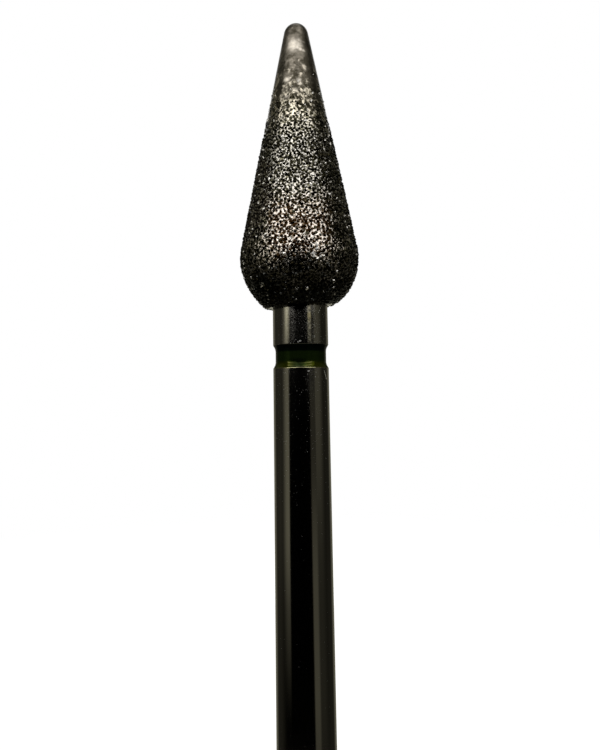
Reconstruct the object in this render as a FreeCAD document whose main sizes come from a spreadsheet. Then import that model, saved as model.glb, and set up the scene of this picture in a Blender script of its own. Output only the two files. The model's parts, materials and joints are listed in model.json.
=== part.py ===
"""Diamond bur for a straight dental handpiece, tip up, in millimetres. A turned steel blank carries a
plated layer of diamonds on its head and an enamel colour ring in a groove under it. +Z runs along the
axis towards the tip, from an origin at the centre of the shank's end."""

import FreeCAD, Part
import math
import os
from enum import IntEnum

import Sketcher

# Driving dimensions
SIZES = {
    # the whole instrument, from the shank's end to the tip
    "overall_length": 44.5,
    # the straight shank that a chuck holds, and the bevel at its end
    "shank_diameter": 2.35,
    "end_chamfer": 0.3,
    # the head over its diamonds: a ball that runs into a long cone with a rounded tip
    "head_length": 13.2,
    "head_diameter": 5.1,
    "tip_radius": 0.55,
    # the plated layer, and how far it runs down the neck from the head's core
    "layer_thickness": 0.2,
    "layer_skirt": 0.09,
    # the colour ring: how far below the head it lies, its width, and the depth of its groove
    "neck_length": 1.65,
    "ring_width": 0.95,
    "groove_depth": 0.18,
    # how far the enamel sinks between the edges of the groove
    "enamel_dip": 0.095,
}

# Radii and heights that follow from the driving dimensions
SHANK_RADIUS = "Sizes.shank_diameter / 2"
HEAD_RADIUS = "Sizes.head_diameter / 2"
CORE_RADIUS = f"{HEAD_RADIUS} - Sizes.layer_thickness"
TIP_RADIUS = "Sizes.tip_radius"
CORE_TIP_RADIUS = "Sizes.tip_radius - Sizes.layer_thickness"
CORE_TOP = "Sizes.overall_length - Sizes.layer_thickness"
HEAD_TOP = "Sizes.overall_length"
HEAD_BASE = "Sizes.overall_length - Sizes.head_length"
CORE_FOOT = f"{HEAD_BASE} + Sizes.layer_skirt"
BALL_HEIGHT = f"{CORE_FOOT} + sqrt(({CORE_RADIUS})^2 - ({SHANK_RADIUS})^2)"
RING_MIDDLE = f"{HEAD_BASE} - Sizes.neck_length - Sizes.ring_width / 2"
GROOVE_FLOOR = f"{SHANK_RADIUS} - Sizes.groove_depth"
CUT_WIDTH = "2 * Sizes.groove_depth"
ENAMEL_ARC = "((Sizes.ring_width / 2)^2 + Sizes.enamel_dip^2) / (2 * Sizes.enamel_dip)"

# The points of a curve, numbered from 1, and a sketch's own two axes, numbered up to -1
Point = IntEnum("Point", ["START", "END", "CENTRE"])
Axis = IntEnum("Axis", ["VERTICAL", "HORIZONTAL"], start=-2)

UP = FreeCAD.Vector(0, 0, 1)


def make_sheet(doc):
    """The spreadsheet of driving dimensions, one named cell for each."""
    sheet = doc.addObject("Spreadsheet::Sheet", "Sizes")
    for row, (alias, value) in enumerate(SIZES.items(), start=1):
        sheet.set(f"A{row}", alias)
        sheet.set(f"B{row}", str(value))
        sheet.setAlias(f"B{row}", alias)
    doc.recompute()


class Section:
    """A half section on its body's XZ plane, where across is the radius and up is the height.
    Curves are drawn where the sheet's values put them, and constraints tie them to the sheet."""

    def __init__(self, body, name):
        self.body = body
        self.sketch = body.newObject("Sketcher::SketchObject", name)
        plane = next(f for f in body.Origin.OriginFeatures if f.Role == "XZ_Plane")
        self.sketch.AttachmentSupport = (plane, [""])
        self.sketch.MapMode = "FlatFace"

    def value(self, expression):
        """What an expression on the sheet comes to."""
        return float(self.body.evalExpression(expression))

    def line(self, start, end):
        segment = Part.LineSegment(FreeCAD.Vector(*start, 0), FreeCAD.Vector(*end, 0))
        return self.sketch.addGeometry(segment)

    def arc(self, centre, radius, first_angle, last_angle):
        circle = Part.Circle(FreeCAD.Vector(*centre, 0), UP, radius)
        return self.sketch.addGeometry(Part.ArcOfCircle(circle, first_angle, last_angle))

    def rule(self, kind, *places):
        """A constraint that has no size: what meets, touches, lies level or stands upright."""
        self.sketch.addConstraint(Sketcher.Constraint(kind, *places))

    def size(self, kind, name, expression, *places):
        """A constraint with a name and a size, driven by an expression on the sheet."""
        constraint = Sketcher.Constraint(kind, *places, self.value(expression))
        index = self.sketch.addConstraint(constraint)
        self.sketch.renameConstraint(index, name)
        self.sketch.setExpression(f"Constraints.{name}", expression)

    def height(self, name, expression, curve, end):
        """The height of a curve's point over the sketch's origin."""
        self.size("DistanceY", name, expression, Axis.HORIZONTAL, Point.START, curve, end)

    def radius(self, name, expression, curve, end):
        """The distance of a curve's point from the axis."""
        self.size("DistanceX", name, expression, Axis.HORIZONTAL, Point.START, curve, end)

    def close_loop(self, *curves):
        """Lines that each start where the one before ends, the first one where the last ends."""
        for first, second in zip(curves, curves[1:] + curves[:1]):
            self.rule("Coincident", first, Point.END, second, Point.START)

    def revolve(self, name):
        """A full turn of the section about its vertical axis, as a solid."""
        feature = self.body.newObject("PartDesign::Revolution", name)
        self.turn_fully(feature)
        return feature

    def groove(self, name):
        """A full turn of the section about its vertical axis, cut from the solid."""
        feature = self.body.newObject("PartDesign::Groove", name)
        self.turn_fully(feature)
        return feature

    def turn_fully(self, feature):
        feature.Profile = self.sketch
        feature.ReferenceAxis = (self.sketch, ["V_Axis"])
        feature.Angle = 360.0
        self.sketch.Visibility = False


def make_body(doc, name):
    """An empty body whose label names its file."""
    body = doc.addObject("PartDesign::Body", name)
    body.Label = name
    return body


def head_outline(section, name, ball_radius, tip_radius, top, foot_angle):
    """Ball, flank and tip, each tangent to the next: the ball arc starts at the outline's foot, and
    the tip arc ends on the axis. Both the diamonds' surface and the core under it have this shape."""
    ball = section.value(ball_radius)
    tip = section.value(tip_radius)
    ball_height = section.value(BALL_HEIGHT)
    tip_height = section.value(top) - tip
    # the flank touches both arcs, so it leans in by the same angle at each
    lean = math.asin((ball - tip) / (tip_height - ball_height))
    across, up = math.cos(lean), math.sin(lean)
    ball_arc = section.arc((0, ball_height), ball, foot_angle, lean)
    flank = section.line((ball * across, ball_height + ball * up), (tip * across, tip_height + tip * up))
    tip_arc = section.arc((0, tip_height), tip, lean, math.pi / 2)
    section.rule("Tangent", ball_arc, Point.END, flank, Point.START)
    section.rule("Tangent", flank, Point.END, tip_arc, Point.START)
    section.rule("PointOnObject", ball_arc, Point.CENTRE, Axis.VERTICAL)
    section.rule("PointOnObject", tip_arc, Point.CENTRE, Axis.VERTICAL)
    section.rule("PointOnObject", tip_arc, Point.END, Axis.VERTICAL)
    section.size("Radius", f"{name}_ball_radius", ball_radius, ball_arc)
    section.size("Radius", f"{name}_tip_radius", tip_radius, tip_arc)
    section.height(f"{name}_ball_height", BALL_HEIGHT, ball_arc, Point.CENTRE)
    section.height(f"{name}_top", top, tip_arc, Point.END)
    return ball_arc, tip_arc


def core_outline(section):
    """The head's core, one layer thickness inside the diamonds' surface, down to the neck."""
    foot_angle = -math.acos(section.value(SHANK_RADIUS) / section.value(CORE_RADIUS))
    return head_outline(section, "core", CORE_RADIUS, CORE_TIP_RADIUS, CORE_TOP, foot_angle)


def surface_outline(section):
    """The head over its diamonds, down to the layer's lower edge."""
    drop = section.value(BALL_HEIGHT) - section.value(HEAD_BASE)
    foot_angle = -math.asin(drop / section.value(HEAD_RADIUS))
    return head_outline(section, "surface", HEAD_RADIUS, TIP_RADIUS, HEAD_TOP, foot_angle)


def turned_section(body):
    """Half of the blank before its groove is cut: shank, neck and the head's core in one outline."""
    section = Section(body, "TurnedSection")
    shank = section.value(SHANK_RADIUS)
    end_face = section.line((0, 0), (shank, 0))
    side = section.line((shank, 0), (shank, section.value(CORE_FOOT)))
    ball_arc, tip_arc = core_outline(section)
    centre_line = section.line((0, section.value(CORE_TOP)), (0, 0))
    section.rule("Coincident", end_face, Point.END, side, Point.START)
    section.rule("Coincident", side, Point.END, ball_arc, Point.START)
    section.rule("Coincident", tip_arc, Point.END, centre_line, Point.START)
    section.rule("Coincident", centre_line, Point.END, end_face, Point.START)
    section.rule("Coincident", end_face, Point.START, Axis.HORIZONTAL, Point.START)
    section.rule("Horizontal", end_face)
    section.rule("Vertical", side)
    section.radius("shank_radius", SHANK_RADIUS, side, Point.START)
    return section


def groove_section(body):
    """A rectangle astride the shank's surface that cuts the groove for the colour ring."""
    section = Section(body, "GrooveSection")
    inner = section.value(GROOVE_FLOOR)
    outer = inner + section.value(CUT_WIDTH)
    middle = section.value(RING_MIDDLE)
    half_width = section.value("Sizes.ring_width") / 2
    low, high = middle - half_width, middle + half_width
    bottom = section.line((inner, low), (outer, low))
    outside = section.line((outer, low), (outer, high))
    top = section.line((outer, high), (inner, high))
    floor = section.line((inner, high), (inner, low))
    section.close_loop(bottom, outside, top, floor)
    section.rule("Horizontal", bottom)
    section.rule("Horizontal", top)
    section.rule("Vertical", outside)
    section.rule("Vertical", floor)
    section.radius("floor_radius", GROOVE_FLOOR, floor, Point.START)
    section.height("top", f"{RING_MIDDLE} + Sizes.ring_width / 2", floor, Point.START)
    section.size("DistanceY", "width", "Sizes.ring_width", floor, Point.END, floor, Point.START)
    section.size("DistanceX", "cut_width", CUT_WIDTH, bottom, Point.START, bottom, Point.END)
    return section


def end_edge(shape):
    """The name of the round edge at the shank's end."""
    for index, edge in enumerate(shape.Edges, start=1):
        if isinstance(edge.Curve, Part.Circle) and abs(edge.Curve.Center.z) < 1e-6:
            return f"Edge{index}"
    raise RuntimeError("the blank has no round edge at its end")


def make_blank(doc):
    """Steel blank, turned in one piece: chamfered shank, groove, neck and the head's core."""
    body = make_body(doc, "bur_blank")
    turned = turned_section(body).revolve("Turned")
    doc.recompute()
    grooved = groove_section(body).groove("RingGroove")
    doc.recompute()
    if grooved.Shape.Volume >= turned.Shape.Volume:
        raise RuntimeError("the ring groove cut nothing")
    chamfer = body.newObject("PartDesign::Chamfer", "EndChamfer")
    chamfer.Base = (grooved, [end_edge(grooved.Shape)])
    chamfer.setExpression("Size", "Sizes.end_chamfer")
    body.Tip = chamfer
    return body


def make_diamond_layer(doc):
    """Nickel-bonded diamonds, as a shell of even thickness over the core with a flat lower edge."""
    body = make_body(doc, "diamond_layer")
    section = Section(body, "LayerSection")
    outer_ball, outer_tip = surface_outline(section)
    inner_ball, inner_tip = core_outline(section)
    base, core_foot = section.value(HEAD_BASE), section.value(CORE_FOOT)
    shank, head = section.value(SHANK_RADIUS), section.value(HEAD_RADIUS)
    edge_radius = math.sqrt(head**2 - (section.value(BALL_HEIGHT) - base) ** 2)
    lower_edge = section.line((shank, base), (edge_radius, base))
    seat = section.line((shank, core_foot), (shank, base))
    tip_wall = section.line((0, section.value(HEAD_TOP)), (0, section.value(CORE_TOP)))
    section.rule("Coincident", lower_edge, Point.END, outer_ball, Point.START)
    section.rule("Coincident", outer_tip, Point.END, tip_wall, Point.START)
    section.rule("Coincident", tip_wall, Point.END, inner_tip, Point.END)
    section.rule("Coincident", inner_ball, Point.START, seat, Point.START)
    section.rule("Coincident", seat, Point.END, lower_edge, Point.START)
    section.rule("Horizontal", lower_edge)
    section.rule("Vertical", seat)
    section.height("base_height", HEAD_BASE, lower_edge, Point.START)
    section.radius("neck_radius", SHANK_RADIUS, lower_edge, Point.START)
    section.revolve("Layer")
    return body


def make_colour_ring(doc):
    """Enamel that fills the groove and sinks a little between its edges. The body is placed at the
    middle of the groove, so its section lies evenly above and below its own origin."""
    body = make_body(doc, "colour_ring")
    body.setExpression("Placement.Base.z", RING_MIDDLE)
    section = Section(body, "EnamelSection")
    inner, outer = section.value(GROOVE_FLOOR), section.value(SHANK_RADIUS)
    half_width = section.value("Sizes.ring_width") / 2
    arc_radius = section.value(ENAMEL_ARC)
    arc_centre = outer - section.value("Sizes.enamel_dip") + arc_radius
    half_angle = math.asin(half_width / arc_radius)
    floor = section.line((inner, half_width), (inner, -half_width))
    lower_wall = section.line((inner, -half_width), (outer, -half_width))
    surface = section.arc((arc_centre, 0), arc_radius, math.pi - half_angle, math.pi + half_angle)
    upper_wall = section.line((outer, half_width), (inner, half_width))
    section.rule("Coincident", floor, Point.END, lower_wall, Point.START)
    section.rule("Coincident", lower_wall, Point.END, surface, Point.END)
    section.rule("Coincident", surface, Point.START, upper_wall, Point.START)
    section.rule("Coincident", upper_wall, Point.END, floor, Point.START)
    section.rule("Horizontal", lower_wall)
    section.rule("Horizontal", upper_wall)
    section.rule("Symmetric", floor, Point.START, floor, Point.END, Axis.HORIZONTAL)
    section.rule("Equal", lower_wall, upper_wall)
    section.radius("floor_radius", GROOVE_FLOOR, floor, Point.START)
    section.size("DistanceY", "width", "Sizes.ring_width", floor, Point.END, floor, Point.START)
    section.size("DistanceX", "depth", "Sizes.groove_depth", lower_wall, Point.START, lower_wall, Point.END)
    section.size("Radius", "surface_radius", ENAMEL_ARC, surface)
    section.revolve("Enamel")
    return body


def check(doc, bodies):
    """Stops before anything is written if a feature failed or a body isn't one valid solid."""
    for item in doc.Objects:
        if "Invalid" in item.State or "Error" in item.State:
            raise RuntimeError(f"{item.Name} failed: {item.State}")
    for body in bodies:
        shape = body.Shape
        if shape.isNull() or not shape.isValid() or len(shape.Solids) != 1:
            raise RuntimeError(f"{body.Label} isn't one valid solid")


def main():
    doc = FreeCAD.newDocument("dental_bur")
    make_sheet(doc)
    bodies = [make_blank(doc), make_diamond_layer(doc), make_colour_ring(doc)]
    doc.recompute()
    check(doc, bodies)
    os.makedirs("parts", exist_ok=True)
    for body in bodies:
        body.Shape.exportStep(f"parts/{body.Label}.step")
        box = body.Shape.optimalBoundingBox(False)
        print(f"{body.Label}: {body.Shape.Volume:.3f} mm3, z {box.ZMin:.3f} to {box.ZMax:.3f}")


main()
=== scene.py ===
# %% [markdown]
# # A diamond bur, standing tip up
#
# A dental bur is a small rotary file. A steel blank is turned and ground in one piece, its head is plated
# with nickel that holds thousands of diamond grains, and a ring of enamel under the head tells how coarse
# the grains are. This lesson dresses the solids of such a bur: ground steel, green enamel, a nickel bond
# and the grains on it, inside a small dark tent with soft lamps, because all of it shines.

# %% Load the frame
import json
import math

import bmesh
import bpy
from mathutils import Euler, Matrix, Vector, noise


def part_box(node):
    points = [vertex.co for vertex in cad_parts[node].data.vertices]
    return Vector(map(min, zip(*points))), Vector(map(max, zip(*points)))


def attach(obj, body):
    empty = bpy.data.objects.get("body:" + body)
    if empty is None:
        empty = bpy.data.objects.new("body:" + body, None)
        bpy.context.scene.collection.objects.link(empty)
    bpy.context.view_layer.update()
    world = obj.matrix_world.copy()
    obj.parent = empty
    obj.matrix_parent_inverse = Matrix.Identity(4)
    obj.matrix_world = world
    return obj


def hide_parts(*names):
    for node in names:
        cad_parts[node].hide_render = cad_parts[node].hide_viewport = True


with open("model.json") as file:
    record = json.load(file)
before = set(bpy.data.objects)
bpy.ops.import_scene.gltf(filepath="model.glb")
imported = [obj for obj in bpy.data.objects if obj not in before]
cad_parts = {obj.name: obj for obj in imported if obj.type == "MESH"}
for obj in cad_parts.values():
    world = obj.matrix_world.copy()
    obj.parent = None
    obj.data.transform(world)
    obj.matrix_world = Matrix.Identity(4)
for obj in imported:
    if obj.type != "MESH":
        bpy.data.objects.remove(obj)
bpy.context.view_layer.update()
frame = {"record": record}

# %% [markdown]
# ## Sizes
#
# Blender works in metres here, and the bur is 44.5 mm long, so small sizes are written as a number times
# MM. Heights and the shank's radius are read from the frame, so the pieces lie exactly where the solids do.
# A few sizes of the head can't be read from a box, so they are repeated as the real sizes that they are.
# The finishes count in millimetres, and the last four values are for them.

# %% Sizes of the bur
MM = 0.001

layer_low, layer_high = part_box("diamond_layer")
ring_low, ring_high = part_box("colour_ring")
shank_mount = next(m for m in frame["record"]["mounts"] if m["name"] == "shank")

SHANK_RADIUS = shank_mount["dims"]["r_mm"] * MM
HEAD_BASE = layer_low[2]
TIP = layer_high[2]
RING_BOTTOM = ring_low[2]
RING_TOP = ring_high[2]

HEAD_RADIUS = 2.55 * MM
TIP_RADIUS = 0.55 * MM
LAYER_THICKNESS = 0.2 * MM
LAYER_SKIRT = 0.09 * MM
GROOVE_DEPTH = 0.18 * MM
ENAMEL_DIP = 0.095 * MM
END_BEVEL = 0.3 * MM

CORE_FOOT = HEAD_BASE + LAYER_SKIRT
BALL_HEIGHT = CORE_FOOT + math.sqrt((HEAD_RADIUS - LAYER_THICKNESS) ** 2 - SHANK_RADIUS**2)

RING_LOW_MM = RING_BOTTOM / MM
RING_HIGH_MM = RING_TOP / MM
HEAD_LOW_MM = HEAD_BASE / MM
TIP_MM = TIP / MM
print(f"head from {HEAD_LOW_MM:.2f} to {TIP_MM:.2f} mm, ball's middle at {BALL_HEIGHT / MM:.2f} mm")

# %% [markdown]
# ## The camera
#
# The photograph was taken from very close, at about the height of the ring and looking slightly up, so the
# shank grows wider towards the bottom and the underside of the head shows. Fitting the outline gives the
# distance, the focal length in pixels and the tilt. The picture's optical centre lies above its middle,
# which a small lens shift does, and the bur leans a little to the left, which a roll of the camera does.

# %% Camera
PHOTO_HEIGHT = 750
FOCAL_PIXELS = 610
OPTICAL_CENTRE_Y = 300
SENSOR = 36.0

CAMERA_DISTANCE = 26 * MM
CAMERA_HEIGHT = 27.6 * MM
CAMERA_PITCH = math.radians(8.8)
CAMERA_ROLL = math.radians(0.87)

camera_data = bpy.data.cameras.new("photo_camera")
camera_data.sensor_width = SENSOR
camera_data.lens = FOCAL_PIXELS / PHOTO_HEIGHT * SENSOR
camera_data.shift_y = (OPTICAL_CENTRE_Y - PHOTO_HEIGHT / 2) / PHOTO_HEIGHT
camera_data.clip_start = 1 * MM
camera_data.clip_end = 10.0
camera = bpy.data.objects.new("photo_camera", camera_data)
bpy.context.collection.objects.link(camera)
camera.location = (0, -CAMERA_DISTANCE, CAMERA_HEIGHT)
upright = Euler((math.pi / 2 + CAMERA_PITCH, 0, 0)).to_matrix()
camera.rotation_euler = (upright @ Matrix.Rotation(-CAMERA_ROLL, 3, "Z")).to_euler()
bpy.context.scene.camera = camera
print(f"lens {camera_data.lens:.1f} mm, shift {camera_data.shift_y:.3f}")

# %% [markdown]
# ## Material maths in plain Python
#
# A procedural material is a graph of nodes, and its sums are easier to read as Python. `Wire` wraps one
# output socket and turns `a * b + 1` into Math nodes. `Finish` holds one material, and its single `node`
# method adds any other kind of node, first with its settings and then with values or wires for its inputs.
# Most of what varies over the bur is a mask from 0 to 1, made by `step` or `between` from a place on it.

# %% Material helpers
class Wire:
    """One output socket that can stand in a Python expression."""

    def __init__(self, finish, socket):
        self.finish = finish
        self.socket = socket

    def math(self, operation, other=None, swapped=False):
        pair = (other, self) if swapped else (self, other)
        inputs = {place: value for place, value in enumerate(pair) if value is not None}
        return self.finish.node("ShaderNodeMath", {"operation": operation}, inputs)

    def __add__(self, other):
        return self.math("ADD", other)

    def __sub__(self, other):
        return self.math("SUBTRACT", other)

    def __mul__(self, other):
        return self.math("MULTIPLY", other)

    def __truediv__(self, other):
        return self.math("DIVIDE", other)

    def __pow__(self, other):
        return self.math("POWER", other)

    def __radd__(self, other):
        return self.math("ADD", other, swapped=True)

    def __rsub__(self, other):
        return self.math("SUBTRACT", other, swapped=True)

    def __rmul__(self, other):
        return self.math("MULTIPLY", other, swapped=True)

    def __rtruediv__(self, other):
        return self.math("DIVIDE", other, swapped=True)

    def __rpow__(self, other):
        return self.math("POWER", other, swapped=True)

    def larger(self, other):
        return self.math("MAXIMUM", other)

    def smaller(self, other):
        return self.math("MINIMUM", other)

    def step(self, low, high, rises=True):
        """A smooth step from 0 at low to 1 at high, or the other way round."""
        ends = {"To Min": 0.0, "To Max": 1.0} if rises else {"To Min": 1.0, "To Max": 0.0}
        inputs = {"Value": self, "From Min": low, "From Max": high, **ends}
        return self.finish.node("ShaderNodeMapRange", {"interpolation_type": "SMOOTHSTEP"}, inputs)

    def between(self, start, full, fading, end):
        """1 from full to fading, with a smooth rise from start and a smooth fall to end."""
        return self.step(start, full) * self.step(fading, end, rises=False)


class Finish:
    """One procedural material, or the world's one with kept_in="worlds", built from wires."""

    def __init__(self, name, kept_in="materials"):
        self.material = getattr(bpy.data, kept_in).new(name)
        self.material.use_nodes = True
        self.tree = self.material.node_tree
        self.tree.nodes.clear()

    def node(self, kind, settings=None, inputs=None, output=0):
        made = self.tree.nodes.new(kind)
        for name, value in (settings or {}).items():
            setattr(made, name, value)
        for place, value in (inputs or {}).items():
            if isinstance(value, Wire):
                self.tree.links.new(value.socket, made.inputs[place])
            else:
                made.inputs[place].default_value = value
        return Wire(self, made.outputs[output]) if made.outputs else None

    def position(self):
        """The place on the piece in millimetres, and its three parts."""
        place = self.node("ShaderNodeTexCoord", output="Object")
        scaled = self.node("ShaderNodeVectorMath", {"operation": "SCALE"}, {0: place, "Scale": 1 / MM})
        split = self.node("ShaderNodeSeparateXYZ", inputs={0: scaled})
        return scaled, [Wire(self, socket) for socket in split.socket.node.outputs]

    def stretched(self, place, factors):
        """The same place with each axis scaled, so that a pattern is drawn out along the others."""
        return self.node("ShaderNodeVectorMath", {"operation": "MULTIPLY"}, {0: place, 1: factors})

    def distance(self, place, spot):
        """How far the place is from one fixed spot."""
        return self.node("ShaderNodeVectorMath", {"operation": "DISTANCE"}, {0: place, 1: spot}, "Value")

    def noise(self, place, scale, detail=2.0, roughness=0.5):
        inputs = {"Vector": place, "Scale": scale, "Detail": detail, "Roughness": roughness}
        return self.node("ShaderNodeTexNoise", {"noise_dimensions": "3D"}, inputs)

    def mix(self, factor, first, second):
        """A mix of two colours. The Mix node keeps the sockets for colours at 6 and 7, and at 2."""
        return self.node("ShaderNodeMix", {"data_type": "RGBA"}, {0: factor, 6: first, 7: second}, output=2)

    def bump(self, height, strength, distance):
        inputs = {"Strength": strength, "Distance": distance, "Height": height}
        return self.node("ShaderNodeBump", inputs=inputs)

    def surface(self, **inputs):
        """The closing shader. Names use an underscore for each space, such as Base_Color."""
        named = {name.replace("_", " "): value for name, value in inputs.items()}
        shader = self.node("ShaderNodeBsdfPrincipled", inputs=named)
        self.node("ShaderNodeOutputMaterial", inputs={"Surface": shader})
        print(f"{self.material.name}: {len(self.tree.nodes)} nodes")
        return self.material


def colour(red, green, blue):
    return (red, green, blue, 1.0)


def bearing_of(x, y):
    """Degrees around the axis, from the front towards the right."""
    return x.math("ARCTAN2", 0 - y) * math.degrees(1)


print("material helpers ready")

# %% [markdown]
# ## Turned shapes
#
# Every main piece of a bur comes off a lathe, so one function turns a half outline of (radius, height)
# points about the axis. A Screw modifier could do the same, but a few lines of mesh code give one clean
# pole on the axis and leave no modifier behind. Edges sharper than SHARP_ANGLE keep a crisp line.

# %% Turning
SHARP_ANGLE = math.radians(35)
ON_AXIS = 0.000001 * MM


def arc_points(centre_radius, centre_height, radius, first, last, count):
    """Points on an arc in the half section, from the first angle to the last."""
    angles = [first + (last - first) * step / (count - 1) for step in range(count)]
    return [(centre_radius + radius * math.cos(a), centre_height + radius * math.sin(a)) for a in angles]


def turn(name, outline, segments, closed=False, wobble=None):
    """Turns an outline about the axis. A point on the axis becomes one pole. wobble moves each point."""
    mesh_maker = bmesh.new()
    rings = []
    for radius, height in outline:
        if radius < ON_AXIS:
            rings.append([mesh_maker.verts.new((0, 0, height))] * segments)
            continue
        ring = []
        for step in range(segments):
            angle = 2 * math.pi * step / segments
            place = Vector((radius * math.cos(angle), radius * math.sin(angle), height))
            ring.append(mesh_maker.verts.new(wobble(place) if wobble else place))
        rings.append(ring)
    pairs = list(zip(rings, rings[1:] + rings[:1] if closed else rings[1:]))
    for lower, upper in pairs:
        for step in range(segments):
            after = (step + 1) % segments
            corners = [lower[step], lower[after], upper[after], upper[step]]
            face = list(dict.fromkeys(corners))
            if len(face) > 2:
                mesh_maker.faces.new(face)
    bmesh.ops.recalc_face_normals(mesh_maker, faces=mesh_maker.faces)
    mesh = bpy.data.meshes.new(name)
    mesh_maker.to_mesh(mesh)
    mesh_maker.free()
    mesh.shade_smooth()
    mesh.set_sharp_from_angle(angle=SHARP_ANGLE)
    piece = bpy.data.objects.new(name, mesh)
    bpy.context.collection.objects.link(piece)
    print(f"{name}: {len(mesh.polygons)} faces")
    return piece


# %% [markdown]
# ## The head's outline
#
# In side view the head is three lines without a corner between them: the arc of the ball, the straight
# flank of the cone and the small arc of the tip. The core, the nickel and the skin for the grains all
# follow it, the core deeper than the others. The flank's lean comes from the two radii and the distance
# between their middles, so each arc ends where the flank meets it. The flank is cut into short faces too.

# %% Outline of the head
BALL_STEPS = 40
FLANK_STEPS = 24
TIP_STEPS = 14


def head_outline(depth, tip_depth, foot_height):
    """Ball, flank and tip from foot_height up to the axis, each its depth below the diamonds' peaks."""
    ball, tip = HEAD_RADIUS - depth, TIP_RADIUS - tip_depth
    tip_height = TIP - TIP_RADIUS
    lean = math.asin((ball - tip) / (tip_height - BALL_HEIGHT))
    foot = -math.asin((BALL_HEIGHT - foot_height) / ball)
    points = arc_points(0, BALL_HEIGHT, ball, foot, lean, BALL_STEPS)
    flank_low = points[-1]
    top = arc_points(0, tip_height, tip, lean, math.pi / 2, TIP_STEPS)
    for step in range(1, FLANK_STEPS):
        share = step / FLANK_STEPS
        points.append(tuple(a + (b - a) * share for a, b in zip(flank_low, top[0])))
    points += top[:-1]
    points.append((0.0, top[-1][1]))
    return points


print("points in the outline of the grains' peaks:", len(head_outline(0.0, 0.0, HEAD_BASE)))

# %% [markdown]
# ## The steel blank
#
# One piece of steel carries everything: the bevelled shank that the chuck holds, the groove for the ring,
# the neck and the core of the head. Its edges aren't knife sharp on the real thing, so each corner of the
# outline is eased by a hundredth or two of a millimetre, which gives the light a thin line to catch.
# A short straight face follows each eased edge, because smooth shading bends the light over the whole of
# the next face, and a long one would mirror the studio at the wrong height.

# %% Steel blank
EDGE_EASE = 0.02 * MM
EDGE_SUPPORT = 0.04 * MM
EASE_STEPS = 5
ROUND_SEGMENTS = 180


def blank_outline():
    """Half section of the blank, from the centre of the shank's end to the top of the head's core."""
    groove_radius = SHANK_RADIUS - GROOVE_DEPTH
    outline = [(0.0, 0.0), (SHANK_RADIUS - END_BEVEL - EDGE_EASE, 0.0)]
    outline += [(SHANK_RADIUS - END_BEVEL, EDGE_EASE / 2), (SHANK_RADIUS - EDGE_EASE / 2, END_BEVEL)]
    outline += [(SHANK_RADIUS, END_BEVEL + EDGE_EASE), (SHANK_RADIUS, END_BEVEL + EDGE_SUPPORT)]
    outline += [(SHANK_RADIUS, RING_BOTTOM - EDGE_SUPPORT)]
    eased = SHANK_RADIUS - EDGE_EASE
    outline += arc_points(eased, RING_BOTTOM - EDGE_EASE, EDGE_EASE, 0, math.pi / 2, EASE_STEPS)
    outline += [(groove_radius, RING_BOTTOM), (groove_radius, RING_TOP)]
    outline += arc_points(eased, RING_TOP + EDGE_EASE, EDGE_EASE, -math.pi / 2, 0, EASE_STEPS)
    outline += [(SHANK_RADIUS, RING_TOP + EDGE_SUPPORT)]
    return outline + head_outline(LAYER_THICKNESS, LAYER_THICKNESS, CORE_FOOT)


blank = turn("steel_blank", blank_outline(), ROUND_SEGMENTS)

# %% [markdown]
# ## The finish of the steel
#
# The shank is centreless ground: a satin mirror with very fine lines around it. This bur has been used.
# A film of dust lies between the ring and the head, pale specks are sprinkled there and grow rarer further
# down, two narrow streaks are etched dull, and right under the head its shadow is painted almost black.
# The shank's upper edge has yellowed, and there are two scratches and one small stain. Each mark is a mask
# made from the angle around the axis and the height, because a scratch follows the surface and not the
# room, and noise breaks the larger ones up, so that none has a drawn edge. The marks come first: short
# lines on the surface, from one place (degrees from the front, height in millimetres) to another.

# %% Marks on the steel
SPECK_PLACES = ((-1, 29.76, 0.035), (-5, 29.73, 0.02), (15, 28.54, 0.03))
SCRATCH_PLACES = (
    ((54, 28.56), (63, 28.22), 0.012, 0.030, 1.0),
    ((53, 31.35), (40, 30.95), 0.006, 0.020, 0.9),
)
STAIN_START = (18, 30.85)
STAIN_END = (19, 30.65)


def surface_spot(azimuth_degrees, height_mm):
    """A place on the shank's surface as (distance around it from the front, height), in millimetres."""
    return math.radians(azimuth_degrees) * SHANK_RADIUS / MM, height_mm


def segment_distance(along, up, start, end):
    """Distance in millimetres from a place on the surface to a short straight line on it."""
    (start_along, start_up), (end_along, end_up) = surface_spot(*start), surface_spot(*end)
    run, rise = end_along - start_along, end_up - start_up
    length_squared = run**2 + rise**2
    across, over = along - start_along, up - start_up
    share = ((across * run + over * rise) / length_squared).larger(0.0).smaller(1.0)
    return ((across - share * run) ** 2 + (over - share * rise) ** 2) ** 0.5


def add_bright_specks(specks, around, z):
    """The few specks that stand out, each a very short line, with a soft edge."""
    for azimuth, height, size in SPECK_PLACES:
        speck = segment_distance(around, z, (azimuth - 1, height - 0.01), (azimuth + 1, height))
        specks = specks.larger(speck.step(size * 0.6, size, rises=False))
    return specks


def scratch_mask(around, z):
    """1 in the two scratches, each with its half width, the reach of its soft edge and its strength."""
    scratches = 0.0
    for start, end, half_width, reach, strength in SCRATCH_PLACES:
        off_line = segment_distance(around, z, start, end)
        scratches = (off_line.step(half_width, reach, rises=False) * strength).larger(scratches)
    return scratches


print(len(SPECK_PLACES), "bright specks,", len(SCRATCH_PLACES), "scratches")
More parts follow.
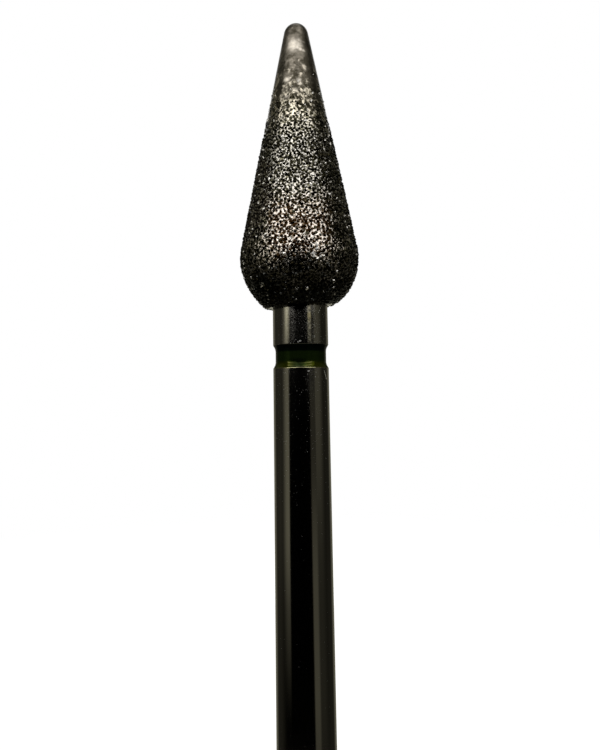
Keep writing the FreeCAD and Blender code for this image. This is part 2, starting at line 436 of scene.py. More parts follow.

# %% [markdown]
# ## The steel's colours and shine
#
# Two masks divide the shank: the neck, above the ring, and the painted shadow right under the head. The
# others lie inside them or below. Dust and specks are rough and stand up a little, a scratch is bright and
# cut into the surface, and none of them mirrors like steel. So the same masks also drive metal and bump.

# %% Steel finish
STEEL = colour(0.42, 0.40, 0.35)
STEEL_ETCHED = colour(0.13, 0.125, 0.115)
STEEL_EDGE = colour(0.50, 0.47, 0.27)
STAIN = colour(0.42, 0.36, 0.20)
# Painted shadow of the head, almost black.
HEAD_SHADOW = colour(0.020, 0.017, 0.018)
DUST = colour(0.075, 0.073, 0.066)
SPECK = colour(0.36, 0.36, 0.34)
SCRATCH = colour(0.50, 0.50, 0.42)


def steel_finish():
    finish = Finish("ground_steel")
    place, (x, y, z) = finish.position()
    bearing = bearing_of(x, y)
    around = bearing * (math.radians(1) * SHANK_RADIUS / MM)
    grinding = finish.noise(finish.stretched(place, (1.5, 1.5, 90.0)), 1.0, detail=3.0)
    cloud = finish.noise(place, 1.1, detail=3.0)
    film = finish.noise(place, 30.0, detail=2.0, roughness=0.7)
    on_neck = z.step(RING_LOW_MM, RING_HIGH_MM)
    # The band right under the head where its shadow is painted, dipping lower at the front.
    head_shadow_band = (z - (x + 0.09) ** 2 * 1.6).step(HEAD_LOW_MM - 0.38, HEAD_LOW_MM - 0.22)
    dusty = on_neck * (1 - head_shadow_band) * bearing.step(10.0, 24.0, rises=False)
    dusty = dusty * (z.step(30.1, 30.9) * 0.65 + 0.35)
    dust = (film + (cloud - 0.5) * 0.4).step(0.42, 0.80) * dusty * 0.10
    stipple = film.step(0.50, 0.66) * z.step(26.4, 28.6)
    right_streak = bearing.between(8.0, 13.0, 25.0, 30.0) * z.step(27.2, 28.4)
    left_streak = bearing.between(-30.0, -27.0, -21.0, -17.0) * on_neck
    etched = finish.noise(place, 15.0, detail=2.0).step(0.46, 0.54) * (right_streak * 0.8 + left_streak * 0.4)
    dust = dust.larger(right_streak * (1 - on_neck) * film.step(0.48, 0.64) * 0.16)
    grit = finish.noise(place, 24.0, detail=1.0)
    near_head = z.step(19.0, 29.0)
    specks = (grit - (0.79 - near_head * 0.065 - on_neck * 0.01)).step(0.0, 0.03)
    specks = add_bright_specks(specks, around, z)
    scratches = scratch_mask(around, z)
    stain = segment_distance(around, z, STAIN_START, STAIN_END).step(0.03, 0.14, rises=False) * 0.6
    tinted = finish.mix(etched, finish.mix(stain, STEEL, STAIN), STEEL_ETCHED)
    edge = z.between(RING_LOW_MM - 0.05, RING_LOW_MM - 0.02, RING_LOW_MM + 0.30, RING_LOW_MM + 0.50)
    tinted = finish.mix(edge, tinted, STEEL_EDGE)
    dusted = finish.mix(specks, finish.mix(dust, tinted, DUST), SPECK)
    # Painted shadow of the head: the front of the band right under it is darkened almost black.
    painted_head_shadow = head_shadow_band * bearing.between(-27.0, -22.0, 12.5, 15.5)
    base = finish.mix(scratches, finish.mix(painted_head_shadow * 0.9, dusted, HEAD_SHADOW), SCRATCH)
    cover = dust.larger(specks)
    roughness = 0.09 + grinding * 0.03 + (cloud - 0.5) * 0.05 + stipple * 0.06 + cover * 0.3
    height = grinding * 0.15 + cover * 0.5 - scratches * 2.0
    return finish.surface(
        Base_Color=base,
        Metallic=1.0 - cover.larger(scratches) * 0.8,
        Roughness=roughness,
        Normal=finish.bump(height, 0.2, 0.002 * MM),
    )


blank.data.materials.append(steel_finish())
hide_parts("bur_blank")
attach(blank, "root")

# %% [markdown]
# ## The colour ring
#
# Green marks a coarse grit. The enamel is a closed body of its own that fills the groove's floor: it lies
# flat in the middle and creeps up both edges. It is painted thinly, so the steel shines through it, and
# the finish is half metal for that. Light and shade are painted into its colour: the upper part is painted
# almost black as shade, the lower strip is painted lighter where the lamps reflect, more at its sides than
# in the middle, and two fine curved lines along the lower edge are painted highlights.

# %% Enamel ring
ENAMEL_GAP = 0.008 * MM
ENAMEL_CREEP = 0.27 * MM
ENAMEL_STEPS = 30


def enamel_outline():
    """Closed half section of the enamel: the groove's floor and walls, and its sunk surface."""
    surface = []
    for step in range(ENAMEL_STEPS + 1):
        height = RING_BOTTOM + (RING_TOP - RING_BOTTOM) * step / ENAMEL_STEPS
        to_edge = min(height - RING_BOTTOM, RING_TOP - height)
        rise = max(0.0, 1 - to_edge / ENAMEL_CREEP) ** 2
        surface.append((SHANK_RADIUS - ENAMEL_GAP - ENAMEL_DIP * (1 - rise), height))
    floor = SHANK_RADIUS - GROOVE_DEPTH
    return [(floor, RING_TOP), (floor, RING_BOTTOM)] + surface


ring = turn("green_ring", enamel_outline(), ROUND_SEGMENTS, closed=True)

# %% [markdown]
# ## The enamel's colour
#
# The colour follows the height in the ring: painted lighter and yellowish low, where the lamps reflect, and
# painted almost black as shade high. The lower strip's front is painted darker than its sides, and the two
# fine painted highlight lines are lowest near the middle, so both follow x, the way across. Each line is a
# height above the ring's lower edge in millimetres, and a strength.

# %% Enamel finish
ENAMEL = colour(0.0135, 0.0265, 0.0045)
# The next three colours paint light and shade: an almost black shade for the top, a lighter yellow green
# where the lamps light the lower strip, and the colour of the painted highlight lines.
ENAMEL_SHADE = colour(0.0015, 0.0055, 0.0025)
ENAMEL_LIT = colour(0.0310, 0.0390, 0.0012)
ENAMEL_HIGHLIGHT = colour(0.150, 0.142, 0.048)
STEEL_SHOWING = 0.6
HIGHLIGHT_LINE_PLACES = ((0.158, 1.0), (0.048, 0.9))


def enamel_finish():
    finish = Finish("green_enamel")
    place, (x, _, z) = finish.position()
    waves = finish.noise(finish.stretched(place, (2.0, 2.0, 5.0)), 1.0, detail=2.0)
    height = z + (waves - 0.5) * 0.05
    # Painted light low in the ring, lighter towards its sides, and painted shade high in it.
    lit_low = height.step(RING_LOW_MM + 0.15, RING_LOW_MM + 0.33, rises=False)
    shaded_top = height.step(RING_HIGH_MM - 0.32, RING_HIGH_MM - 0.24)
    lit_low = lit_low * (x * x * 3.2 + 0.40).smaller(1.0)
    base = finish.mix(lit_low, finish.mix(shaded_top, ENAMEL, ENAMEL_SHADE), ENAMEL_LIT)
    # Two painted highlight lines along the lower edge, sagging lowest near the middle.
    beside = (x + 0.06) ** 2
    sag = (beside * 0.22).smaller(0.055)
    lit_width = beside.step(0.20, 0.30, rises=False) * (sag * 14.0 + 0.15)
    highlight_lines = 0.0
    for rise, strength in HIGHLIGHT_LINE_PLACES:
        off_line = (height - sag - (RING_LOW_MM + rise)).math("ABSOLUTE")
        highlight_lines = off_line.step(0.006, 0.032, rises=False) * strength * lit_width + highlight_lines
    base = finish.mix(highlight_lines, base, ENAMEL_HIGHLIGHT)
    # Painted shade: the middle of the lower strip's front is darkened.
    clear = ((x + 0.12) ** 2 * 5.0 + 0.3).smaller(1.0)
    lit_strip = height.step(RING_LOW_MM + 0.30, RING_LOW_MM + 0.42, rises=False)
    base = finish.mix((1 - clear) * lit_strip, base, ENAMEL_SHADE)
    pits = finish.noise(place, 30.0, detail=2.0)
    return finish.surface(
        Base_Color=base,
        Metallic=STEEL_SHOWING,
        Specular_IOR_Level=0.03,
        Roughness=0.08 + pits * 0.06,
        Normal=finish.bump(waves * 0.6 + pits * 0.06 + highlight_lines * 0.4, 1.0, 0.008 * MM),
    )


ring.data.materials.append(enamel_finish())
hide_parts("colour_ring")
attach(ring, "root")

# %% [markdown]
# ## The nickel bond
#
# The grains are held by nickel that is plated around them, so the head is a metal skin with stones sunk
# into it. The skin is turned like the other pieces, a little below the grains' peaks, and its lower edge
# is uneven because the plating ends where the maker's mask did. The edge is turned flat, and then noise
# and a slight tilt move it up and down. A modelled edge shows in the outline too, which a painted one
# would not.

# %% Nickel bond
BOND_DEPTH = 0.02 * MM
BOND_TIP_DEPTH = -0.02 * MM
BOND_FOOT = 0.03 * MM
BOND_LIP = 0.05 * MM
BOND_OVERLAP = 0.03 * MM
EDGE_REACH = 0.6 * MM
EDGE_WAVE = 0.04 * MM
EDGE_WAVES_PER_METRE = 1.6 / MM
EDGE_TILT = Vector((0.05, 0.05))


def uneven_edge(place):
    """Moves the plating's lower edge up and down, and not at all above it."""
    share = max(0.0, 1.0 - (place.z - HEAD_BASE) / EDGE_REACH)
    wave = noise.noise(Vector((place.x, place.y, 0.0)) * EDGE_WAVES_PER_METRE) * EDGE_WAVE
    return place + Vector((0, 0, (wave + EDGE_TILT.dot(place.xy)) * share))


def bond_outline():
    """From the neck out under the head, round the plating's lower lip, and up to the tip."""
    foot = HEAD_BASE + BOND_FOOT
    skin = head_outline(BOND_DEPTH, BOND_TIP_DEPTH, foot + BOND_LIP)
    edge = skin[0][0]
    under = [(SHANK_RADIUS - BOND_OVERLAP, foot), (edge - BOND_LIP, foot)]
    return under + [(edge - BOND_LIP * 0.3, foot + BOND_LIP * 0.3)] + skin


bond = turn("nickel_bond", bond_outline(), ROUND_SEGMENTS, wobble=uneven_edge)

# %% [markdown]
# ## The nickel's colours and places
#
# The bright nickel is grey low on the head, creamier from half way up and warmer around the belt, and
# round the girth it is painted brighter as a highlight. Its gaps are painted almost black as shade, or
# brown at the front of the belt, and where it is worn it is dull with brighter strokes. The painted
# highlights near the tip, and the places painted a tone lighter or darker as light and shade, stand where
# the photograph has them. Each is given by degrees from the front, height and size in millimetres, and for
# a tone by how much it adds.

# %% Colours and places of the nickel
NICKEL_GREY = colour(0.68, 0.645, 0.575)
NICKEL_CREAM = colour(0.72, 0.65, 0.51)
NICKEL_WARM = colour(0.75, 0.68, 0.60)
# Painted highlight colour for the girth of the ball.
NICKEL_GIRTH_HIGHLIGHT = colour(1.0, 0.90, 0.79)
NICKEL_SHADED = colour(0.18, 0.165, 0.105)
NICKEL_BROWN = colour(0.19, 0.138, 0.085)
NICKEL_DARK = colour(0.012, 0.0105, 0.004)
NICKEL_RUST = colour(0.022, 0.0105, 0.0030)
# Painted shade colour for the underside of the head.
NICKEL_UNDERSIDE_SHADE = colour(0.012, 0.012, 0.010)
WORN_DARK = colour(0.044, 0.038, 0.026)
WORN_PALE = colour(0.165, 0.146, 0.116)
WORN_BRIGHT = colour(0.46, 0.41, 0.33)
# Painted highlight colour for the worn tip, and the places of those painted highlights.
TIP_HIGHLIGHT = colour(0.66, 0.60, 0.51)
TIP_HIGHLIGHT_PLACES = (
    (-7, 43.12, 0.34),
    (3, 42.96, 0.13),
    (14, 42.87, 0.10),
    (24, 42.81, 0.09),
    (-24, 41.30, 0.13),
    (5, 41.20, 0.10),
    (7, 41.02, 0.09),
    (-3, 40.67, 0.12),
    (15, 40.67, 0.09),
    (-21, 40.40, 0.09),
)
# Places painted a tone darker or lighter as shade and light: degrees, height, size and amount.
PAINTED_TONE_PLACES = (
    (31, 43.30, 0.50, -0.20),
    (-15, 39.40, 1.00, 0.035),
    (27, 37.30, 1.15, -0.045),
)


def warm_belt(z, cloud):
    """1 low on the head, where the plating is browner, with an uneven upper edge."""
    return (z + (cloud - 0.5) * 1.4).step(35.2, 36.6, rises=False)


def rust_patch(x, y, z):
    """1 on the front of the belt, where the gaps between the grains have turned brown."""
    front = (x * x).step(0.8, 2.4, rises=False) * y.step(-1.6, -1.0, rises=False)
    return front * z.between(32.6, 33.3, 34.7, 36.0)


def head_place(azimuth_degrees, height_mm):
    """A place on the head's ball or cone, in millimetres."""
    tip_height = (TIP - TIP_RADIUS) / MM
    lean = math.asin((HEAD_RADIUS - TIP_RADIUS) / (TIP - TIP_RADIUS - BALL_HEIGHT))
    radius = TIP_RADIUS / MM / math.cos(lean) + (tip_height - height_mm) * math.tan(lean)
    over_ball = height_mm - BALL_HEIGHT / MM
    if over_ball < HEAD_RADIUS / MM * math.sin(lean):
        radius = math.sqrt((HEAD_RADIUS / MM) ** 2 - over_ball**2)
    azimuth = math.radians(azimuth_degrees)
    return Vector((math.sin(azimuth) * radius, -math.cos(azimuth) * radius, height_mm))


print("top rubbed place:", [round(part, 2) for part in head_place(*TIP_HIGHLIGHT_PLACES[0][:2])])

# %% [markdown]
# ## The finish of the nickel
#
# Between the stones the nickel mirrors the lamps as a network of bright worms and dark gaps, and the same
# noise drives the bump and a step in the colour from dark to bright metal, which paints highlight and shade
# into it. Masks along the height change the network: it is warm around the belt, painted brighter at the
# girth, with brown gaps at the front, painted dark as shade under the head, and at the tip worn to dull
# metal with a few painted highlights. The right flank and a few places are painted a tone darker or
# lighter as shade and light. A fine, a middle and a broad noise are mixed in shares that change with the
# height, which costs less than a pattern for each region and leaves no seam between them.

# %% Nickel finish
def nickel_finish():
    finish = Finish("nickel_bond")
    place, (x, y, z) = finish.position()
    cloud = finish.noise(place, 1.3, detail=2.0)
    half_way = z.step(TIP_MM - 6.5, TIP_MM - 4.3)
    worn = (z + (cloud - 0.5) * 1.6).step(TIP_MM - 5.1, TIP_MM - 2.7)
    smooth = z.step(TIP_MM - 2.9, TIP_MM - 1.9)
    fine, middle, broad = [
        finish.noise(place, scale, detail=2.0, roughness=0.6) - 0.5 for scale in (12.0, 7.0, 4.2)
    ]
    patches = finish.noise(place, 2.3, detail=3.0, roughness=0.6) - 0.5
    low = z.step(34.6, 36.0, rises=False)
    grit = fine * (0.9 - half_way * 0.68 - worn * 0.12 - low * 0.42)
    grit = grit + middle * (0.2 + half_way * 0.45 - worn * 0.35 + low * 0.48)
    grit = grit + broad * (0.12 + half_way * 0.36 + worn * 0.29)
    tint = finish.mix(half_way, NICKEL_GREY, NICKEL_CREAM)
    tint = finish.mix(warm_belt(z, cloud), tint, NICKEL_WARM)
    # Painted highlight: round the girth the nickel is painted brighter and its bright network fuller.
    girth_highlight = (z + (cloud - 0.5) * 0.8).step(33.6, 34.1, rises=False)
    tint = finish.mix(girth_highlight, tint, NICKEL_GIRTH_HIGHLIGHT)
    glints = finish.noise(finish.stretched(place, (-1.0, 1.0, 1.0)), 9.0, detail=2.0)
    rust = rust_patch(x, y, z)
    shaded = finish.mix(rust, NICKEL_SHADED, NICKEL_BROWN)
    tint = finish.mix(glints.step(0.36, 0.54), shaded, tint)
    dark = finish.mix(rust, NICKEL_DARK, NICKEL_RUST)
    bearing = bearing_of(x, y)
    # Painted shade on the right flank, and painted light and shade at the listed places.
    right_flank_shade = bearing.between(20.0, 29.0, 42.0, 54.0)
    painted_tone = right_flank_shade * -0.032
    for azimuth, height, size, amount in PAINTED_TONE_PLACES:
        off_spot = finish.distance(place, head_place(azimuth, height))
        painted_tone = off_spot.step(size * 0.3, size, rises=False) * amount + painted_tone
    lit = grit + patches * 0.12 - half_way * 0.022 + girth_highlight * 0.035 + painted_tone
    lit = lit.step(-0.04 - half_way * 0.03, 0.05 + half_way * 0.05)
    base = finish.mix(lit, finish.mix((lit * (1 - lit) * 4.0) * rust * 0.3, dark, shaded), tint)

    # Painted highlights on the worn tip at the listed places, each with a soft painted glow around it.
    shine = 0.0
    glow = 0.0
    for azimuth, height, size in TIP_HIGHLIGHT_PLACES:
        off_spot = finish.distance(place, head_place(azimuth, height))
        off_spot = off_spot + (patches * 0.5 - broad * 0.4 + middle * 0.25) * size * 3.0
        shine = off_spot.step(-0.3 * size, size * 1.5, rises=False).larger(shine)
        glow = off_spot.step(size * 0.6, size * 2.6, rises=False).larger(glow)
    pale = (patches + middle * 0.45 + fine * 0.25 + glow * 0.20 - smooth * 0.01 + painted_tone).step(-0.17, 0.20)
    pale = pale * (1 - right_flank_shade * 0.55)
    strokes = (broad + patches * 0.5 + painted_tone * 3.0).step(0.02 + smooth * 0.05, 0.18 + smooth * 0.35)
    dull = finish.mix(strokes, finish.mix(pale, WORN_DARK, WORN_PALE), WORN_BRIGHT)
    dull = finish.mix(shine, dull, TIP_HIGHLIGHT)
    base = finish.mix(worn, base, dull)
    # Painted shade: the underside of the head is darkened almost black, reaching a little higher on the left.
    on_left = x.step(-1.8, -0.6, rises=False) * 0.4
    base = finish.mix((z + (cloud - 0.5) * 1.6 - on_left).step(31.6, 33.1, rises=False), base, NICKEL_UNDERSIDE_SHADE)
    return finish.surface(
        Base_Color=base,
        Metallic=1.0,
        Roughness=0.20 + cloud * 0.08 + worn * 0.12,
        Normal=finish.bump(grit * (1 + low * 0.3 + girth_highlight * 0.3) * (1 - smooth * 0.5), 1.0, 0.028 * MM),
    )


bond.data.materials.append(nickel_finish())
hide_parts("diamond_layer")
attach(bond, "root")

# %% [markdown]
# ## The diamonds
#
# Thousands of grains about an eighth of a millimetre across cover the head. They are too many to place by
# hand, and they follow one rule: as dense as their size allows, each turned and sized at random, half sunk
# in the nickel, and towards the tip, which is the most worn, sunk deeper and fewer until none is left. So
# a Geometry Nodes tree scatters points on the skin, puts a twenty-sided stone on each, and then shifts the
# stones' corners so that no two are alike. Few faces a stone keep the whole light enough to export. The
# helper below adds nodes to such a tree in the same way as `Finish` does to a material.

# %% Helper for a tree of geometry nodes
class Scatter:
    """A Geometry Nodes tree with named inputs and one method to add a node."""

    def __init__(self, name):
        self.tree = bpy.data.node_groups.new(name, "GeometryNodeTree")
        self.tree.interface.new_socket("Geometry", in_out="INPUT", socket_type="NodeSocketGeometry")
        self.tree.interface.new_socket("Geometry", in_out="OUTPUT", socket_type="NodeSocketGeometry")
        self.start = self.tree.nodes.new("NodeGroupInput")
        self.end = self.tree.nodes.new("NodeGroupOutput")

    def input(self, name, kind="NodeSocketFloat"):
        self.tree.interface.new_socket(name, in_out="INPUT", socket_type=kind)
        return self.start.outputs[name]

    def node(self, kind, settings=None, inputs=None, output=0):
        made = self.tree.nodes.new(kind)
        for name, value in (settings or {}).items():
            setattr(made, name, value)
        for place, value in (inputs or {}).items():
            if isinstance(value, bpy.types.NodeSocket):
                self.tree.links.new(value, made.inputs[place])
            else:
                made.inputs[place].default_value = value
        return made.outputs[output]

    def times(self, vector, factor):
        return self.node("ShaderNodeVectorMath", {"operation": "SCALE"}, {0: vector, "Scale": factor})

    def random_vector(self, lowest, highest, seed):
        inputs = {0: lowest, 1: highest, "Seed": seed}
        return self.node("FunctionNodeRandomValue", {"data_type": "FLOAT_VECTOR"}, inputs)


print("tree helper ready")

# %% [markdown]
# ## The tree of the grains
#
# The tree has an input for each thing that a maker could choose, such as the spacing and the stones' size,
# so that one tree would do for a fine bur as well. The wear starts at one height and is complete at
# another. Every stone also gets a random number of its own, which decides whether it has worn away and
# goes along as an attribute for the finish to read.

# %% Tree that scatters the grains
MOST_PER_SQUARE_METRE = 4e8
SMALLEST_STONE = 0.72
LARGEST_STONE = 1.28
MOST_TILT = 0.35


def grain_tree():
    """Scatters irregular stones on the skin that comes in."""
    scatter = Scatter("diamond_grains")
    spacing = scatter.input("Spacing")
    size = scatter.input("Grain radius")
    flatness = scatter.input("Flatness")
    unevenness = scatter.input("Unevenness")
    worn_from = scatter.input("Worn from height")
    worn_to = scatter.input("Worn to height")
    sink = scatter.input("Sink at the tip")
    left_over = scatter.input("Share left at the tip")
    seed = scatter.input("Seed", "NodeSocketInt")
    material = scatter.input("Material", "NodeSocketMaterial")

    points = scatter.node(
        "GeometryNodeDistributePointsOnFaces",
        {"distribute_method": "POISSON"},
        {
            "Mesh": scatter.start.outputs["Geometry"],
            "Distance Min": spacing,
            "Density Max": MOST_PER_SQUARE_METRE,
            "Seed": seed,
        },
    ).node
    place = scatter.node("GeometryNodeInputPosition")
    height = scatter.node("ShaderNodeSeparateXYZ", inputs={0: place}, output="Z")
    worn_heights = {"Value": height, "From Min": worn_from, "From Max": worn_to}
    wear = scatter.node("ShaderNodeMapRange", inputs={**worn_heights, "To Min": 0.0, "To Max": sink})
    inwards = scatter.times(scatter.times(points.outputs["Normal"], wear), -1.0)
    sunk = scatter.node("GeometryNodeSetPosition", inputs={0: points.outputs["Points"], "Offset": inwards})

    stone = scatter.node("GeometryNodeMeshIcoSphere", inputs={"Radius": 1.0, "Subdivisions": 1})
    scale = scatter.random_vector((SMALLEST_STONE,) * 3, (LARGEST_STONE,) * 3, seed)
    flat = scatter.node("ShaderNodeCombineXYZ", inputs={0: 1.0, 1: 1.0, 2: flatness})
    scale = scatter.node("ShaderNodeVectorMath", {"operation": "MULTIPLY"}, {0: scale, 1: flat})
    spin = scatter.random_vector((-MOST_TILT, -MOST_TILT, 0.0), (MOST_TILT, MOST_TILT, 2 * math.pi), seed)
    turned = scatter.node(
        "FunctionNodeRotateRotation",
        {"rotation_space": "LOCAL"},
        {0: points.outputs["Rotation"], 1: scatter.node("FunctionNodeEulerToRotation", inputs={0: spin})},
    )
    tone = scatter.node("FunctionNodeRandomValue", {"data_type": "FLOAT"}, {"Seed": seed}, output=1)
    present = scatter.node("ShaderNodeMapRange", inputs={**worn_heights, "To Min": 1.0, "To Max": left_over})
    kept = scatter.node("ShaderNodeMath", {"operation": "LESS_THAN"}, {0: tone, 1: present})
    stones = scatter.node(
        "GeometryNodeInstanceOnPoints",
        inputs={
            "Points": sunk,
            "Selection": kept,
            "Instance": stone,
            "Rotation": turned,
            "Scale": scatter.times(scale, size),
        },
    )
    painted_tone = scatter.node(
        "GeometryNodeStoreNamedAttribute",
        {"data_type": "FLOAT", "domain": "INSTANCE"},
        {"Geometry": stones, "Name": "grain_tone", "Value": tone},
    )
    loose = scatter.node("GeometryNodeRealizeInstances", inputs={"Geometry": painted_tone})
    shift = scatter.random_vector((-1.0, -1.0, -1.0), (1.0, 1.0, 1.0), seed)
    shift = scatter.times(scatter.times(shift, size), unevenness)
    broken = scatter.node("GeometryNodeSetPosition", inputs={0: loose, "Offset": shift})
    flat_faces = scatter.node("GeometryNodeSetShadeSmooth", inputs={0: broken, "Shade Smooth": False})
    done = scatter.node("GeometryNodeSetMaterial", inputs={0: flat_faces, "Material": material})
    scatter.tree.links.new(done, scatter.end.inputs[0])
    return scatter.tree


grains_tree = grain_tree()
print("inputs:", [item.name for item in grains_tree.interface.items_tree if item.in_out == "INPUT"])

# %% [markdown]
# ## The finish of the grains
#
# Industrial diamonds are grey to straw coloured. Clogged with grinding dust, most of them show as dark
# gaps in the bright nickel. Some are straw coloured, or a cooler grey under the head, a few are plated and
# shine like the nickel, and a handful under the head and on the belt are painted near white as glints. Each
# stone carries its own random number from the tree, and the colour follows it. Only the painted glints have
# places of their own.

# %% Grain finish
GRAIN_DARK = colour(0.012, 0.0105, 0.0055)
GRAIN_BROWN = colour(0.019, 0.0090, 0.0025)
GRAIN_STRAW = colour(0.040, 0.038, 0.022)
GRAIN_COOL = colour(0.044, 0.045, 0.042)
GRAIN_PALE = colour(0.75, 0.72, 0.66)
# Painted glint colour, near white, for the few stones listed next.
GRAIN_GLINT = colour(0.94, 0.92, 0.87)
GLINT_GRAIN_PLACES = (
    (-3.5, 31.81, 0.065),
    (30, 31.69, 0.060),
    (-5, 31.44, 0.065),
    (-17, 31.35, 0.065),
    (15, 33.40, 0.16),
    (13, 33.06, 0.12),
    (21, 33.05, 0.12),
)


def grain_finish():
    finish = Finish("diamond_grain")
    place, (x, y, z) = finish.position()
    tone = finish.node("ShaderNodeAttribute", {"attribute_name": "grain_tone"}, output="Fac")
    base = finish.mix(rust_patch(x, y, z), GRAIN_DARK, GRAIN_BROWN)
    pale_stone = finish.mix(z.step(32.6, 33.6), GRAIN_COOL, GRAIN_STRAW)
    base = finish.mix(tone.step(0.22, 0.26, rises=False), base, pale_stone)
    beside = (x * x).step(0.8, 3.0)
    whole = z.step(33.0, 34.0, rises=False) * (1 - beside)
    flecks = finish.noise(place, 30.0, detail=1.0).step(0.42, 0.58).larger(whole)
    share = 0.012 + z.step(32.4, 34.2) * 0.10 + beside * z.step(32.4, 34.2, rises=False) * 0.10
    # Painted glints: the listed stones are painted near white, less metallic and rougher.
    bright = 0.0
    for azimuth, height, size in GLINT_GRAIN_PLACES:
        off_spot = finish.distance(place, head_place(azimuth, height))
        bright = off_spot.step(size * 0.8, size, rises=False).larger(bright)
    plated = (share.larger(bright * 1.1) - tone).step(0.0, 0.01) * flecks
    base = finish.mix(bright, finish.mix(plated, base, GRAIN_PALE), GRAIN_GLINT)
    ground = finish.noise(place, 20.0, detail=2.0)
    return finish.surface(
        Base_Color=base,
        Metallic=1.0 - bright * 0.7,
        Roughness=0.06 + ground * 0.1 + bright * 0.25,
    )


grain_material = grain_finish()

# %% [markdown]
# ## Grains on the head
#
# The tree runs on a skin with the outline of the nickel, and its result is kept as a plain mesh, because
# loose stones without a modifier are simplest to export. The skin itself isn't shown. The spacing and the
# radius were chosen together, so that the stones touch here and there and nickel shows between the rest.

# %% Grains on the head
GRAINS_FOOT = 0.04 * MM
STONE_FACES = 20
GRAIN_INPUTS = {
    "Spacing": 0.130 * MM,
    "Grain radius": 0.073 * MM,
    "Flatness": 0.6,
    "Unevenness": 0.25,
    "Worn from height": TIP - 6.0 * MM,
    "Worn to height": TIP - 2.7 * MM,
    "Sink at the tip": 0.04 * MM,
    "Share left at the tip": 0.0,
    "Seed": 11,
    "Material": grain_material,
}


def scatter_grains(name, skin, values):
    """Runs the tree on a skin and keeps its result as a plain mesh."""
    modifier = skin.modifiers.new("grains", "NODES")
    modifier.node_group = grains_tree
    identifiers = {item.name: item.identifier for item in grains_tree.interface.items_tree}
    for label, value in values.items():
        modifier[identifiers[label]] = value
    graph = bpy.context.evaluated_depsgraph_get()
    dressed = skin.evaluated_get(graph)
    mesh = bpy.data.meshes.new_from_object(dressed, preserve_all_data_layers=True, depsgraph=graph)
    skin.modifiers.remove(modifier)
    mesh.name = name
    grains = bpy.data.objects.new(name, mesh)
    bpy.context.collection.objects.link(grains)
    print(f"{name}: {len(mesh.polygons)} faces, {len(mesh.polygons) // STONE_FACES} grains")
    return grains


skin_outline = head_outline(BOND_DEPTH, BOND_TIP_DEPTH, HEAD_BASE + GRAINS_FOOT)
skin = turn("grain_skin", skin_outline, ROUND_SEGMENTS, wobble=uneven_edge)
grains = scatter_grains("diamond_grains", skin, GRAIN_INPUTS)
bpy.data.objects.remove(skin)
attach(grains, "root")

# %% [markdown]
# ## The studio
#
# A shiny cylinder shows its surroundings more than its own colour. In the photograph the middle of the
# shank is black, because it mirrors the dark lens in front of it, and soft bands of light stand left and
# right. So the bur stands in a dark paper tent whose wall glows in bands beside it and behind it. Three
# soft lamps hang high in front, one above and one behind, and make the nickel sparkle. Tent and lamps are
# hidden from the camera, which sees a white floor and a white background, and the tent casts no shadow.
# First the floor. Near the bur it is pale paper that the lamps bring to white, and further off it turns
# into plain white, so that its horizon hardly shows. Its glow is only for what the eye sees, straight or
# in a mirror, and doesn't light the bur.

# %% Floor
WHITE = colour(1, 1, 1)
FLOOR_RADIUS = 3.0
FLOOR_SEGMENTS = 96
FLOOR_LIT_MM = 120.0


def seen_rays(finish):
    """1 for what the eye sees straight, in a mirror or through glass, 0 for the light that is cast."""
    path = finish.node("ShaderNodeLightPath").socket.node
    seen = [Wire(finish, path.outputs[f"Is {kind} Ray"]) for kind in ("Camera", "Glossy", "Transmission")]
    return seen[0].larger(seen[1]).larger(seen[2])


def emission(finish, tint, strength):
    return finish.node("ShaderNodeEmission", inputs={"Color": tint, "Strength": strength})


def white_paper():
    finish = Finish("white_paper")
    _, (x, y, _) = finish.position()
    far = ((x * x + y * y) ** 0.5).step(FLOOR_LIT_MM * 0.4, FLOOR_LIT_MM)
    shown = seen_rays(finish)
    lit = finish.node("ShaderNodeBsdfDiffuse", inputs={"Color": colour(0.8, 0.8, 0.8)})
    pale = emission(finish, WHITE, shown * (0.80 + far * 0.20))
    both = finish.node("ShaderNodeAddShader", inputs={0: lit, 1: pale})
    plain = emission(finish, WHITE, shown)
    mixed = finish.node("ShaderNodeMixShader", inputs={0: far, 1: both, 2: plain})
    finish.node("ShaderNodeOutputMaterial", inputs={"Surface": mixed})
    return finish.material


def disc(name, radius, material):
    mesh_maker = bmesh.new()
    bmesh.ops.create_circle(mesh_maker, cap_ends=True, radius=radius, segments=FLOOR_SEGMENTS)
    mesh = bpy.data.meshes.new(name)
    mesh_maker.to_mesh(mesh)
    mesh_maker.free()
    mesh.materials.append(material)
    made = bpy.data.objects.new(name, mesh)
    bpy.context.collection.objects.link(made)
    print(f"{name}: {radius} m in radius")
    return made


floor = disc("floor", FLOOR_RADIUS, white_paper())

# %% [markdown]
# ## The tent
#
# The shank mirrors the tent's wall as narrow upright bands, so each light at its edges is a part of the
# wall, between two azimuths and two heights. These were moved until the shank's edges, the neck and the
# underside of the head matched the photograph. The strip at the back and the floor near the bur hardly
# show in its front, and they make its sides and back readable in the other views. The wall stands to well
# above the lamps, where the tent closes in, and a small hole in its floor keeps it clear of the shank.

# %% Tent
CLOTH_HEIGHT = 0.02
TENT_OUTLINE = ((1.3, CLOTH_HEIGHT), (60, CLOTH_HEIGHT), (60, 100), (12, 140))
TENT_SEGMENTS = 72
TENT_TINT = colour(1.0, 0.97, 0.76)


